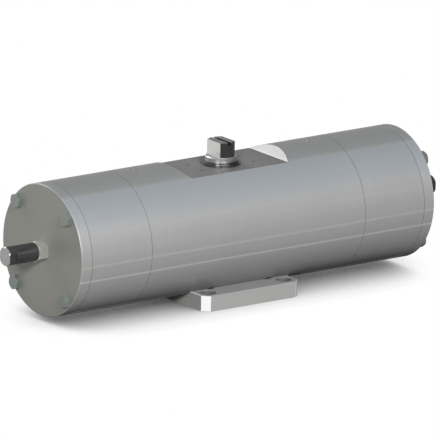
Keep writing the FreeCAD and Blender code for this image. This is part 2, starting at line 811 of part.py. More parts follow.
def make_shaft():
    """Pinion shaft: drive socket below, teeth between the racks, flats and slot on top."""
    body = new_body("pinion_shaft")
    journal = "journal_d / 2"
    low_end = "(journal_low - axis_height)"
    tip = "gear_module * 9"
    neck = "neck_d / 2"
    top = "(flat_height + shaft_rise)"
    clip = "(flat_height + washer_thick)"
    seal_low = "(8 - axis_height)"
    seal_top = "(flat_height - 5)"
    points = [
        ("0", low_end),
        (journal, low_end),
        (journal, seal_low),
        (journal + " - seal_thick + 0.4", seal_low),
        (journal + " - seal_thick + 0.4", seal_low + " + seal_thick"),
        (journal, seal_low + " + seal_thick"),
        (journal, "journal_top - axis_height"),
        (tip, "journal_top - axis_height + 3"),
        (tip, "gear_high"),
        (neck, "gear_high"),
        (neck, seal_top),
        (neck + " - seal_thick + 0.4", seal_top),
        (neck + " - seal_thick + 0.4", seal_top + " + seal_thick"),
        (neck, seal_top + " + seal_thick"),
        (neck, clip),
        (neck + " - clip_groove", clip),
        (neck + " - clip_groove", clip + " + clip_thick"),
        (neck, clip + " + clip_thick"),
        (neck, "collar_top - 0.8"),
        (neck + " - 0.8", "collar_top"),
        ("head_d / 2", "collar_top"),
        ("head_d / 2", top + " - head_cut"),
        ("head_d / 2 - head_cut", top),
        ("0", top),
    ]
    turn_about(body, "Revolution", points, "V_Axis")

    sketch = new_sketch(body, "XY_Plane", low_end + " - 1")
    half = "socket_af / 2"
    outline = [(half, half), ("-" + half, half), ("-" + half, "-" + half), (half, "-" + half)]
    draw_outline(sketch, outline)
    sink(body, sketch, "socket_deep + 1")

    sketch = new_sketch(body, "XY_Plane", "collar_top")
    for sign in ("", "-"):
        outline = [
            (sign + "head_af / 2", "-head_d"), (sign + "head_d", "-head_d"),
            (sign + "head_d", "head_d"), (sign + "head_af / 2", "head_d"),
        ]
        draw_outline(sketch, outline)
    sink(body, sketch, "shaft_rise + 20")
    sketch = new_sketch(body, "XY_Plane", top + " - slot_deep")
    outline = [
        ("slot_wide / 2", "-head_d"), ("slot_wide / 2", "head_d"),
        ("-slot_wide / 2", "head_d"), ("-slot_wide / 2", "-head_d"),
    ]
    draw_outline(sketch, outline)
    sink(body, sketch, "slot_deep + 5")

    sketch = new_sketch(body, "XY_Plane", "-gear_low")
    draw_fixed(sketch, tooth_gap())
    gap = sink(body, sketch, "gear_low + gear_high + 1")
    ring = body.newObject("PartDesign::PolarPattern", "pinion_teeth")
    ring.Originals = [gap]
    ring.Axis = (plane_axis(body, "Z_Axis"), [""])
    ring.Angle = 360
    ring.Occurrences = 16
    body.Tip = ring
    doc.recompute()

    upright_ring("bottom_bush", journal + " + ring_play", journal + " + bush_wall - 0.02",
                 BUSH_LOW_START, BUSH_LOW_START + " + bush_long")
    upright_ring("top_bush", neck + " + ring_play", neck + " + bush_wall - 0.02",
                 BUSH_TOP_START, SEAL_TOP)
    upright_ring("thrust_ring", neck + " + 0.1", "gear_module * 9 - 0.6",
                 "gear_high", "gear_high + thrust_thick")
    upright_ring("bottom_seal", journal + " - seal_thick + 0.45", journal + " + wall_play - 0.03",
                 seal_low + " + 0.05", seal_low + " + seal_thick - 0.05")
    upright_ring("top_seal", neck + " - seal_thick + 0.45", neck + " + wall_play - 0.03",
                 seal_top + " + 0.05", seal_top + " + seal_thick - 0.05")
    upright_ring("thrust_washer", neck + " + 0.1", "washer_d / 2", "flat_height", clip)


def plane_axis(body, role):
    """One of the body's own origin axes."""
    return [item for item in body.Origin.OriginFeatures if item.Role == role][0]


def make_clip():
    """Retaining ring in the collar's groove, open at the rear."""
    clip = "(flat_height + washer_thick)"
    body = upright_ring("retaining_ring", "neck_d / 2 - clip_groove + 0.05", "clip_d / 2",
                        clip + " + 0.02", clip + " + clip_thick - 0.05")
    sketch = new_sketch(body, "XY_Plane", clip + " - 2")
    outline = [
        ("-clip_mouth / 2", "0"), ("clip_mouth / 2", "0"),
        ("clip_mouth / 2", "clip_d"), ("-clip_mouth / 2", "clip_d"),
    ]
    draw_outline(sketch, outline)
    sink(body, sketch, "clip_thick + 6")


make_main_body()
make_valve_block()
make_gallery_plug()
for side, turned in (("right", False), ("left", True)):
    make_housing(side, turned)
    make_cap(side, turned)
    make_bolts(side, turned)
    make_stop(side, turned)
    make_piston(side, turned)
    make_spring(side, turned)
make_shaft()
make_clip()
doc.recompute()

for item in doc.Objects:
    if "Invalid" in item.State or "Error" in item.State:
        raise RuntimeError("failed object " + item.Label)
os.makedirs("parts", exist_ok=True)
for item in nodes:
    shape = item.Shape
    if shape.isNull() or not shape.isValid():
        raise RuntimeError("bad shape " + item.Label)
    shape.exportStep("parts/" + item.Label + ".step")
    box = shape.BoundBox
    print(item.Label, len(shape.Solids), round(shape.Volume),
          [round(value, 1) for value in (box.XMin, box.XMax, box.YMin, box.YMax, box.ZMin, box.ZMax)])
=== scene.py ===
import math

import bmesh
import bpy
from mathutils import Matrix, Vector


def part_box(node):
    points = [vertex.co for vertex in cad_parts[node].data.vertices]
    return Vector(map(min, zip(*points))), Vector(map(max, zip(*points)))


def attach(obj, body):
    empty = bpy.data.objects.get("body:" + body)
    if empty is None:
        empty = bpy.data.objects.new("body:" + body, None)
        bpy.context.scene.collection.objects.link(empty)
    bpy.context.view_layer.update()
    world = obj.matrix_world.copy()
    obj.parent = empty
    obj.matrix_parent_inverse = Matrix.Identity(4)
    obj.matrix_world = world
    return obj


bl_info = {
    "name": "Pneumatic valve actuator",
    "version": (1, 0, 0),
    "blender": (4, 5, 0),
    "location": "View3D > Sidebar > Actuator",
    "description": "Finishes, threads and studio for a quarter-turn pneumatic valve actuator",
    "category": "Object",
}

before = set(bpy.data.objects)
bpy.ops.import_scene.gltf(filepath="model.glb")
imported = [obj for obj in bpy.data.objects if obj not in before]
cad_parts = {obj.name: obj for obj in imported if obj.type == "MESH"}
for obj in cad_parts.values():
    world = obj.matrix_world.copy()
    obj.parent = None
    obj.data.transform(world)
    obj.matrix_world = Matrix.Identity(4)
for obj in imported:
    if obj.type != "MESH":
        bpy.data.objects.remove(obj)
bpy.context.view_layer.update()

# Height of the cylinder's axis above the mounting face, in metres.
AXIS_HEIGHT = (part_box("end_cap_right")[0].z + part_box("end_cap_right")[1].z) / 2

# How bright the room in front of the object is where polished metal reflects it.
ROOM_DARK = 0.15

# Where the view's middle lies from the shaft's axis, and the photograph's width, in pixels.
VIEW_SHIFT = (0.645, 0.064)
PHOTO_WIDTH = 440

# How far a tone takes to change to the next one, in metres.
EDGE = 0.0002

# Heights near the mounting plate's top: its bevel, its hole rims and all of it.
BEVEL_FOOT = 0.0193
RIM_HEIGHT = 0.0196
PLATE_LIMIT = 0.0203

# Radius that takes in a large mounting hole with its countersink, and a small hole of the flat.
LARGE_HOLE = 0.0104
SMALL_HOLE = 0.0029

# Half the length and half the width of the small holes' pattern.
SMALL_REACH = (0.040, 0.015)

# Height between the mounting plate and the top flat, above which the small holes are.
UPPER_SIDE = 0.140

# Painted reflection bands along the cylinder, as heights from its axis: where each begins and is
# full, or fades. The top band is painted shade, the bluish band a painted reflection, the streaks
# painted highlights.
SHADED_CREST = (0.0730, 0.0765)
SKY_TINT_FOOT = (0.036, 0.050)
SKY_TINT_TOP = (0.0715, 0.0745)
HIGHLIGHT_STREAK = -0.0240
FAINT_HIGHLIGHT_STREAK = -0.0050

# Radius of the floor, its height under the part, and how far its soft contact shadow reaches.
FLOOR_RADIUS = 9
FLOOR_DROP = 0.0002
SHADOW_REACH = 0.1

# Bolt circles of the plate's two thread patterns, and the height at which their threads begin.
MOUNT_CIRCLE = 0.165
INNER_CIRCLE = 0.125
THREAD_FOOT = 0.0004

# The ports' places along the cylinder and the depth of their threads' inner ends.
PORT_PLACES = (-0.012, 0.012)
PORT_FOOT = 0.0691

# The lifting holes' places along the cylinder and the height at which their threads begin.
LIFTING_PLACES = (-0.134, 0.134)
LIFTING_FOOT = 0.1618

# Each thread: radius of its hole, length and depth of the ridge.
THREADS = {
    "mount": (0.00875, 0.0180, 0.0007),
    "inner": (0.0051, 0.0195, 0.0005),
    "port": (0.0059, 0.0088, 0.00045),
    "lifting": (0.00425, 0.0130, 0.0004),
}
THREAD_STEPS = 28

# Width of the step between an end face and its rim, and of the step at a hole's rim.
RIM_STEP = 0.0003
HOLE_STEP = 0.0001

# Each lamp: azimuth and elevation in degrees, distance, width and height in metres.
# Polished metal doesn't reflect the rear one.
LAMPS = {
    "key": (-9, 31, 5.0, 3.0, 0.9),
    "fill": (-54, 20, 5.0, 1.3, 0.7),
    "back": (-162, 35, 3.0, 0.8, 0.6),
    "rear": (138, 12, 5.0, 3.0, 0.9),
}

# Each plain metal: darker and lighter colour, metal, roughness, grain, depth of the grain.
PLAIN_METALS = {
    "bolt_steel": ((0.20, 0.225, 0.205), (0.26, 0.29, 0.265), 0.5, 0.34, 1800, 0.00003),
    "stud_steel": ((0.45, 0.45, 0.45), (0.55, 0.55, 0.54), 0.8, 0.34, 1600, 0.00003),
    "nut_steel": ((0.50, 0.49, 0.45), (0.60, 0.59, 0.55), 0.7, 0.38, 1700, 0.00003),
    "ring_steel": ((0.16, 0.16, 0.16), (0.24, 0.24, 0.24), 1.0, 0.26, 1500, 0.00003),
    "cast_alloy": ((0.58, 0.59, 0.60), (0.68, 0.69, 0.70), 0.75, 0.48, 900, 0.00006),
    "coated_spring": ((0.03, 0.035, 0.04), (0.06, 0.065, 0.07), 0.2, 0.45, 1100, 0.00003),
    "bush_bronze": ((0.42, 0.28, 0.12), (0.52, 0.37, 0.18), 0.85, 0.38, 1400, 0.00003),
}

# Each plastic or rubber: darker and lighter colour, roughness, grain, depth of the grain.
SOFT_PLAINS = {
    "white_acetal": ((0.74, 0.73, 0.69), (0.82, 0.81, 0.77), 0.42, 1300, 0.00002),
    "seal_rubber": ((0.010, 0.010, 0.010), (0.022, 0.022, 0.022), 0.55, 1500, 0.00002),
}


class Socket:
    """A shader socket that takes part in plain sums."""

    def __init__(self, pen, link):
        self.pen = pen
        self.link = link

    def sum_node(self, operation, first, second):
        """A node that works out one step of a sum."""
        return self.pen.node("ShaderNodeMath", {"operation": operation}, [first, second])

    def __add__(self, other):
        return self.sum_node("ADD", self, other)

    def __sub__(self, other):
        return self.sum_node("SUBTRACT", self, other)

    def __rsub__(self, other):
        return self.sum_node("SUBTRACT", other, self)

    def __mul__(self, other):
        return self.sum_node("MULTIPLY", self, other)


class Pen:
    """Writes the nodes of one material or world."""

    def __init__(self, tree):
        self.tree = tree
        tree.nodes.clear()

    def node(self, kind, settings=None, values=None, output=0):
        """Add a node: settings first, then socket values or links by name or by order."""
        made = self.tree.nodes.new(kind)
        for name, value in (settings or {}).items():
            setattr(made, name, value)
        pairs = values or {}
        if not isinstance(pairs, dict):
            pairs = dict(enumerate(pairs))
        for key, value in pairs.items():
            if isinstance(value, Socket):
                self.tree.links.new(value.link, made.inputs[key])
            else:
                made.inputs[key].default_value = value
        if not made.outputs:
            return made
        return Socket(self, made.outputs[output])

    def parts(self, vector):
        """The three numbers of a vector."""
        made = self.tree.nodes.new("ShaderNodeSeparateXYZ")
        self.tree.links.new(vector.link, made.inputs[0])
        return [Socket(self, made.outputs[index]) for index in range(3)]

    def rays(self):
        """One for rays from the camera, and one for rays reflected in metal."""
        path = self.tree.nodes.new("ShaderNodeLightPath")
        return [Socket(self, path.outputs[name]) for name in ("Is Camera Ray", "Is Glossy Ray")]

    def step(self, value, start, end, low=0.0, high=1.0):
        """A number that goes from low to high while a value goes from start to end."""
        return self.node("ShaderNodeMapRange", {"clamp": True}, [value, start, end, low, high])

    def size_of(self, value):
        """A number without its sign."""
        return self.node("ShaderNodeMath", {"operation": "ABSOLUTE"}, [value])

    def blend(self, mask, first, second):
        """A mixture of two colours that are sockets or plain colours."""
        values = {"Factor": mask}
        for key, colour in ((6, first), (7, second)):
            values[key] = colour if isinstance(colour, Socket) else (*colour, 1)
        settings = {"data_type": "RGBA", "clamp_factor": True}
        return self.node("ShaderNodeMix", settings, values, output=2)

    def place(self, scale=(1, 1, 1)):
        """The point on the object, in metres, stretched by a scale."""
        point = self.node("ShaderNodeTexCoord", output=3)
        if scale == (1, 1, 1):
            return point
        return self.node("ShaderNodeMapping", {}, {0: point, "Scale": scale})

    def noise(self, scale, detail=3.0, stretch=(1, 1, 1), roughness=0.55):
        """Noise from 0 to 1 in the object's own space."""
        values = {"Vector": self.place(stretch), "Scale": scale, "Detail": detail}
        values["Roughness"] = roughness
        return self.node("ShaderNodeTexNoise", {}, values)

    def bump(self, height, strength, distance):
        """A normal from a height."""
        values = {"Height": height, "Strength": strength, "Distance": distance}
        return self.node("ShaderNodeBump", {}, values)

    def finish(self, **values):
        """The surface shader and the output."""
        names = {key.replace("_", " "): value for key, value in values.items()}
        shader = self.node("ShaderNodeBsdfPrincipled", {}, names)
        self.node("ShaderNodeOutputMaterial", {}, {"Surface": shader})


def new_material(name):
    """An empty material and the pen that writes it."""
    material = bpy.data.materials.new(name)
    material.use_nodes = True
    return material, Pen(material.node_tree)


def from_axis(pen):
    """Distance from the cylinder's axis."""
    _, across, height = pen.parts(pen.place())
    rise = height - AXIS_HEIGHT
    return pen.node("ShaderNodeMath", {"operation": "SQRT"}, [across * across + rise * rise])


def larger(pen, first, second):
    """The larger of two numbers."""
    return pen.node("ShaderNodeMath", {"operation": "MAXIMUM"}, [first, second])


def pale_edges(pen, sizes):
    """One on the plate's cut corners and along the bevels of its two ends, where a painted
    highlight goes.
    """
    along, across, height = pen.parts(pen.place())
    wide, deep = pen.size_of(along), pen.size_of(across)
    low = pen.step(height, PLATE_LIMIT, PLATE_LIMIT + EDGE, 1.0, 0.0)
    corner = pen.step(wide + deep, sizes.plate_corner - EDGE, sizes.plate_corner)
    rim = pen.step(wide, sizes.plate_rim - EDGE, sizes.plate_rim)
    bevel = rim * pen.step(height, BEVEL_FOOT, BEVEL_FOOT + EDGE)
    return low * larger(pen, corner, bevel)


def plate_sides(pen, sizes):
    """One on the mounting plate's four milled sides, which get painted light."""
    along, across, height = pen.parts(pen.place())
    reach = larger(pen, pen.size_of(along), pen.size_of(across))
    side = pen.step(reach, sizes.plate_rim, sizes.plate_rim + EDGE)
    return side * pen.step(height, BEVEL_FOOT, BEVEL_FOOT + EDGE, 1.0, 0.0)


def round_holes(pen, reach, depth, radius):
    """One within a radius of four upright lines, by their places along and across."""
    along, across, _ = pen.parts(pen.place())
    wide = pen.size_of(along) - reach
    deep = pen.size_of(across) - depth
    gone = pen.node("ShaderNodeMath", {"operation": "SQRT"}, [wide * wide + deep * deep])
    return pen.step(gone, radius, radius + HOLE_STEP, 1.0, 0.0)


def hole_walls(pen, sizes):
    """One in the mounting plate's large holes and in the four small holes of the top flat, which
    get painted shade.
    """
    height = pen.parts(pen.place())[2]
    large = round_holes(pen, sizes.hole_reach, sizes.hole_reach, LARGE_HOLE)
    small = round_holes(pen, *SMALL_REACH, SMALL_HOLE)
    below = pen.step(height, RIM_HEIGHT, RIM_HEIGHT + RIM_STEP, 1.0, 0.0)
    above = pen.step(height, UPPER_SIDE, UPPER_SIDE + 0.001)
    return larger(pen, large * below, small * above)


def sheen(pen, colour):
    """Painted reflection bands along the cylinder: painted shade on the top, a painted bluish
    reflection under it, two painted highlight streaks.
    """
    rise = pen.parts(pen.place())[2] - AXIS_HEIGHT
    level = rise + pen.noise(1.0, 2.0, stretch=(6, 30, 30)) * 0.002 - 0.001
    shaded_crest = pen.step(level, *SHADED_CREST) * 0.45
    sky_tint = pen.step(level, *SKY_TINT_FOOT) * pen.step(level, *SKY_TINT_TOP, 1.0, 0.0) * 0.35
    bright = pen.step(pen.size_of(level - HIGHLIGHT_STREAK), 0.0003, 0.0018, 0.5, 0.0)
    faint_highlight = pen.step(pen.size_of(level - FAINT_HIGHLIGHT_STREAK), 0.0003, 0.0022, 0.22, 0.0)
    colour = pen.blend(shaded_crest, colour, (0.21, 0.21, 0.21))
    colour = pen.blend(sky_tint, colour, (0.29, 0.34, 0.40))
    return pen.blend(larger(pen, bright, faint_highlight), colour, (0.66, 0.65, 0.62))


def top_pad(pen, sizes):
    """One on the machined flat round the shaft, which gets painted shade."""
    along, _, height = pen.parts(pen.place())
    near = pen.step(pen.size_of(along), sizes.pad_reach, sizes.pad_reach + EDGE, 1.0, 0.0)
    level = pen.size_of(height - sizes.pad_height)
    return near * pen.step(level, EDGE, 2 * EDGE, 1.0, 0.0)


def turned_steel(sizes):
    """Cylinder: turning marks, long streaks, painted reflection bands, painted shade on the top
    flat and in the holes, painted light on the plate's sides and painted highlights on its
    corners and bevels.
    """
    material, pen = new_material("turned_steel")
    marks = pen.noise(1.0, 4.0, stretch=(2600, 14, 14))
    coarse = pen.noise(1.0, 2.0, stretch=(420, 5, 5))
    streaks = pen.noise(1.0, 3.0, stretch=(2.5, 170, 170))
    cloud = pen.noise(11.0, 4.0)
    mask = marks * 0.25 + coarse * 0.2 + cloud * 0.2 + streaks * 0.35
    # Painted reflection bands: painted shade on the top, a painted bluish reflection and painted
    # highlight streaks.
    colour = sheen(pen, pen.blend(mask, sizes.steel_low, sizes.steel_high))
    # Painted shade on the upward-facing top flat.
    colour = pen.blend(top_pad(pen, sizes), colour, sizes.pad_tone)
    # Painted light on the plate's sides.
    colour = pen.blend(plate_sides(pen, sizes), colour, sizes.plate_tone)
    # Painted shade inside the holes.
    colour = pen.blend(hole_walls(pen, sizes), colour, sizes.hole_tone)
    # Painted highlights on the plate's cut corners and end bevels.
    colour = pen.blend(pale_edges(pen, sizes), colour, sizes.edge_tone)
    height = marks * 0.7 + coarse * 0.3
    normal = pen.bump(height, 0.18, 0.00004)
    rough = cloud * 0.08 + marks * 0.06 + (sizes.steel_rough - 0.07)
    pen.finish(Base_Color=colour, Metallic=sizes.steel_metal, Roughness=rough, Normal=normal,
               Specular_IOR_Level=0.1, Specular_Tint=(0.35, 0.35, 0.35, 1))
    return material


def faced_steel(sizes):
    """End caps: facing marks on the olive flat face, and a rim in the cylinder's tones with the
    same painted reflection bands.
    """
    material, pen = new_material("faced_steel")
    radius = from_axis(pen)
    ring = pen.node("ShaderNodeTexNoise", {"noise_dimensions": "1D"},
                    {"W": radius, "Scale": 2400.0, "Detail": 3.0})
    wide = pen.node("ShaderNodeTexNoise", {"noise_dimensions": "1D"},
                    {"W": radius, "Scale": 240.0, "Detail": 2.0})
    cloud = pen.noise(13.0, 4.0)
    mask = ring * 0.35 + wide * 0.25 + cloud * 0.4
    face = pen.blend(mask, sizes.face_low, sizes.face_high)
    # The rim gets the same painted reflection bands as the cylinder.
    side = sheen(pen, pen.blend(mask, sizes.steel_low, sizes.steel_high))
    rim = pen.step(radius, sizes.rim_radius, sizes.rim_radius + RIM_STEP)
    colour = pen.blend(rim, face, side)
    normal = pen.bump(ring * 0.6 + wide * 0.4, 0.15, 0.00004)
    rough = cloud * 0.08 + ring * 0.08 + 0.38
    pen.finish(Base_Color=colour, Metallic=sizes.steel_metal, Roughness=rough, Normal=normal,
               Specular_IOR_Level=0.1, Specular_Tint=(0.35, 0.35, 0.35, 1))
    return material


def plain_metal(name, low, high, metal, rough, grain, depth):
    """A metal with fine isotropic grain."""
    material, pen = new_material(name)
    fine = pen.noise(grain, 4.0)
    cloud = pen.noise(grain / 40, 3.0)
    colour = pen.blend(fine * 0.5 + cloud * 0.5, low, high)
    normal = pen.bump(fine, 0.15, depth)
    shine = cloud * 0.1 + fine * 0.06 + (rough - 0.08)
    pen.finish(Base_Color=colour, Metallic=metal, Roughness=shine, Normal=normal,
               Specular_IOR_Level=0.4)
    return material


def soft_plain(name, low, high, rough, grain, depth):
    """Rubber or plastic with a fine skin."""
    material, pen = new_material(name)
    fine = pen.noise(grain, 4.0)
    cloud = pen.noise(grain / 30, 3.0)
    colour = pen.blend(fine * 0.4 + cloud * 0.6, low, high)
    normal = pen.bump(fine, 0.2, depth)
    shine = cloud * 0.12 + (rough - 0.06)
    pen.finish(Base_Color=colour, Roughness=shine, Normal=normal)
    return material


def cover_steel(sizes):
    """Stop covers: sides painted dark with light streaks as a painted reflection, and a pale end
    face.
    """
    material, pen = new_material("cover_steel")
    reach = pen.size_of(pen.parts(pen.place())[0])
    marks = pen.noise(1.0, 3.0, stretch=(40, 900, 900))
    # Painted reflection: dark sides with light streaks along the cover.
    side = pen.blend(marks, (0.02, 0.02, 0.02), (0.16, 0.16, 0.16))
    end = pen.step(reach, sizes.cover_end - EDGE, sizes.cover_end)
    colour = pen.blend(end, side, (0.33, 0.33, 0.33))
    normal = pen.bump(marks, 0.1, 0.00003)
    pen.finish(Base_Color=colour, Metallic=0.7, Roughness=marks * 0.08 + 0.14, Normal=normal,
               Specular_IOR_Level=0.3)
    return material


def shaft_steel(sizes):
    """Shaft: flats painted pale as lit and round sides painted dark as shaded, a bright collar
    and a middle tone on top.
    """
    material, pen = new_material("shaft_steel")
    along, _, height = pen.parts(pen.place())
    fine = pen.noise(1900, 4.0)
    reach = pen.size_of(along)
    flat = pen.step(reach, sizes.flat_reach - EDGE, sizes.flat_reach)
    flat = flat * pen.step(reach, sizes.flat_reach + 2 * EDGE, sizes.flat_reach + 3 * EDGE,
                           1.0, 0.0)
    head = pen.step(height, sizes.head_foot, sizes.head_foot + EDGE)
    top = pen.step(height, sizes.head_top - 2 * EDGE, sizes.head_top - EDGE)
    # The pale flats and dark round sides are painted light and shade, lit and shaded copies of
    # one steel.
    dark = pen.blend(fine, (0.10, 0.10, 0.10), (0.16, 0.16, 0.16))
    pale = pen.blend(fine, (0.58, 0.58, 0.57), (0.66, 0.66, 0.65))
    middle = pen.blend(fine, (0.28, 0.28, 0.28), (0.36, 0.36, 0.35))
    sides = pen.blend(flat, dark, pale)
    collar = pen.blend(fine, (0.42, 0.42, 0.42), (0.5, 0.5, 0.5))
    colour = pen.blend(head, collar, pen.blend(top, sides, middle))
    metal = pen.step(flat * head, 0.0, 1.0, 0.9, 0.35)
    normal = pen.bump(fine, 0.1, 0.00002)
    shine = pen.step(height, sizes.head_foot, sizes.head_foot + EDGE, 0.34, 0.12)
    pen.finish(Base_Color=colour, Metallic=metal, Roughness=fine * 0.08 + shine, Normal=normal,
               Specular_IOR_Level=0.3)
    return material


FINISHES = {
    "turned_steel": ["main_body", "valve_block", "spring_housing_right", "spring_housing_left"],
    "faced_steel": ["end_cap_right", "end_cap_left"],
    "bolt_steel": ["cap_bolts_right", "cap_bolts_left", "gallery_plug"],
    "stud_steel": ["stop_screw_right", "stop_screw_left"],
    "nut_steel": ["lock_nut_right", "lock_nut_left"],
    "cover_steel": ["stop_cover_right", "stop_cover_left"],
    "shaft_steel": ["pinion_shaft"],
    "ring_steel": ["thrust_washer", "retaining_ring"],
    "cast_alloy": ["piston_right", "piston_left"],
    "coated_spring": ["spring_right", "spring_left"],
    "white_acetal": [
        "piston_band_right", "piston_band_left", "rack_pad_right", "rack_pad_left", "thrust_ring",
    ],
    "seal_rubber": [
        "piston_seal_right", "piston_seal_left", "cap_seal_right", "cap_seal_left",
        "housing_seal_right", "housing_seal_left", "top_seal", "bottom_seal",
    ],
    "bush_bronze": ["top_bush", "bottom_bush"],
}


class FinishSettings(bpy.types.PropertyGroup):
    """Colours and shine of the metals."""

    steel_low: bpy.props.FloatVectorProperty(
        name="Steel, dark", description="Darker tone of the turned cylinder",
        subtype="COLOR", size=3, default=(0.315, 0.315, 0.315))
    steel_high: bpy.props.FloatVectorProperty(
        name="Steel, light", description="Lighter tone of the turned cylinder",
        subtype="COLOR", size=3, default=(0.41, 0.41, 0.405))
    face_low: bpy.props.FloatVectorProperty(
        name="Face, dark", description="Darker tone of the end faces",
        subtype="COLOR", size=3, default=(0.29, 0.29, 0.265))
    face_high: bpy.props.FloatVectorProperty(
        name="Face, light", description="Lighter tone of the end faces",
        subtype="COLOR", size=3, default=(0.345, 0.345, 0.32))
    # Painted shade: the top flat is darker for its upward face.
    pad_tone: bpy.props.FloatVectorProperty(
        name="Top flat", description="Tone of the machined flat round the shaft",
        subtype="COLOR", size=3, default=(0.225, 0.22, 0.218))
    # Painted light: the plate's sides are lighter to make up for the shade on them.
    plate_tone: bpy.props.FloatVectorProperty(
        name="Plate's sides", description="Tone of the mounting plate's milled sides",
        subtype="COLOR", size=3, default=(0.43, 0.43, 0.42))
    # Painted shade: darker inside the holes.
    hole_tone: bpy.props.FloatVectorProperty(
        name="Hole walls", description="Tone inside the mounting holes and the top flat's holes",
        subtype="COLOR", size=3, default=(0.15, 0.15, 0.15))
    hole_reach: bpy.props.FloatProperty(
        name="Holes' place", description="Distance of the mounting holes from both middle lines",
        default=0.058336, unit="LENGTH")
    # Painted highlight: the plate's cut corners and end bevels are near white.
    edge_tone: bpy.props.FloatVectorProperty(
        name="Bright edges", description="Tone of the plate's corners and bevel",
        subtype="COLOR", size=3, default=(0.9, 0.9, 0.9))
    pad_reach: bpy.props.FloatProperty(
        name="Flat's reach", description="Half length of the machined flat",
        default=0.0741, unit="LENGTH")
    pad_height: bpy.props.FloatProperty(
        name="Flat's height", description="Height of the machined flat",
        default=0.1651, unit="LENGTH")
    plate_corner: bpy.props.FloatProperty(
        name="Plate corner", description="Where the plate's cut corners begin, both ways added",
        default=0.1402, unit="LENGTH")
    plate_rim: bpy.props.FloatProperty(
        name="Plate rim", description="Where the plate's bevel begins, from the middle",
        default=0.0740, unit="LENGTH")
    flat_reach: bpy.props.FloatProperty(
        name="Shaft's flats", description="Distance from the shaft's axis to its two flats",
        default=0.0113, unit="LENGTH")
    head_foot: bpy.props.FloatProperty(
        name="Head's foot", description="Height of the collar under the shaft's slotted head",
        default=0.1759, unit="LENGTH")
    head_top: bpy.props.FloatProperty(
        name="Head's top", description="Height of the shaft's top face",
        default=0.1951, unit="LENGTH")
    cover_end: bpy.props.FloatProperty(
        name="Cover's end", description="Distance from the middle to the covers' pale end faces",
        default=0.3291, unit="LENGTH")
    rim_radius: bpy.props.FloatProperty(
        name="Rim radius", description="Where the end face ends and the rim's tone begins",
        default=0.0829, unit="LENGTH")
    steel_metal: bpy.props.FloatProperty(
        name="Metal", description="How metallic the steel's reflection is",
        subtype="FACTOR", min=0, max=1, default=0.34)
    steel_rough: bpy.props.FloatProperty(
        name="Roughness", description="Roughness of the turned cylinder",
        subtype="FACTOR", min=0, max=1, default=0.42)


class StudioSettings(bpy.types.PropertyGroup):
    """Camera and lamps."""

    azimuth: bpy.props.FloatProperty(
        name="Azimuth", description="Camera's turn round the object, in degrees",
        default=-36.722)
    elevation: bpy.props.FloatProperty(
        name="Elevation", description="Camera's height above the horizon, in degrees",
        default=15.11)
    roll: bpy.props.FloatProperty(
        name="Roll", description="Camera's tilt about its own line of sight, in degrees",
        default=1.289)
    lens: bpy.props.FloatProperty(
        name="Lens", description="Focal length, long so that edges stay parallel",
        default=1650.0, unit="CAMERA")
    view_width: bpy.props.FloatProperty(
        name="View width", description="Width that the picture covers at the object",
        default=0.5486, unit="LENGTH")
    key_power: bpy.props.FloatProperty(
        name="Key lamp", description="Power of the large front lamp, in watts",
        default=262.0)
    fill_power: bpy.props.FloatProperty(
        name="Fill lamp", description="Power of the lamp on the camera's left, in watts",
        default=130.0)
    back_power: bpy.props.FloatProperty(
        name="Back lamp", description="Power of the small lamp high behind, in watts",
        default=30.0)
    rear_power: bpy.props.FloatProperty(
        name="Rear lamp", description="Power of the large lamp behind on the right, in watts",
        default=195.0)
    sky: bpy.props.FloatProperty(
        name="Room light", description="Strength of the room's even light", min=0, default=0.04)


class ThreadSettings(bpy.types.PropertyGroup):
    """Threads in the tapped holes."""

    mount_pitch: bpy.props.FloatProperty(
        name="Outer thread", description="Pitch of the four large mounting threads",
        default=0.0025, unit="LENGTH")
    inner_pitch: bpy.props.FloatProperty(
        name="Inner thread", description="Pitch of the four smaller mounting threads",
        default=0.00175, unit="LENGTH")
    port_pitch: bpy.props.FloatProperty(
        name="Port thread", description="Pitch of the two air ports",
        default=0.00134, unit="LENGTH")
    lifting_pitch: bpy.props.FloatProperty(
        name="Lifting thread", description="Pitch of the two lifting threads",
        default=0.0015, unit="LENGTH")


def add_area(name, spot, target, wide, tall, power):
    """A soft rectangular lamp that faces a target."""
    data = bpy.data.lights.new(name, "AREA")
    data.shape = "RECTANGLE"
    data.size = wide
    data.size_y = tall
    data.energy = power
    lamp = bpy.data.objects.new(name, data)
    lamp.location = spot
    aim = Vector(target) - Vector(spot)
    lamp.rotation_mode = "QUATERNION"
    lamp.rotation_quaternion = aim.to_track_quat("-Z", "Y")
    bpy.context.scene.collection.objects.link(lamp)
    return lamp


def toward(azimuth, elevation):
    """Unit direction from the object to a place given by azimuth and elevation in degrees."""
    a = math.radians(azimuth)
    e = math.radians(elevation)
    return Vector((math.sin(a) * math.cos(e), -math.cos(a) * math.cos(e), math.sin(e)))


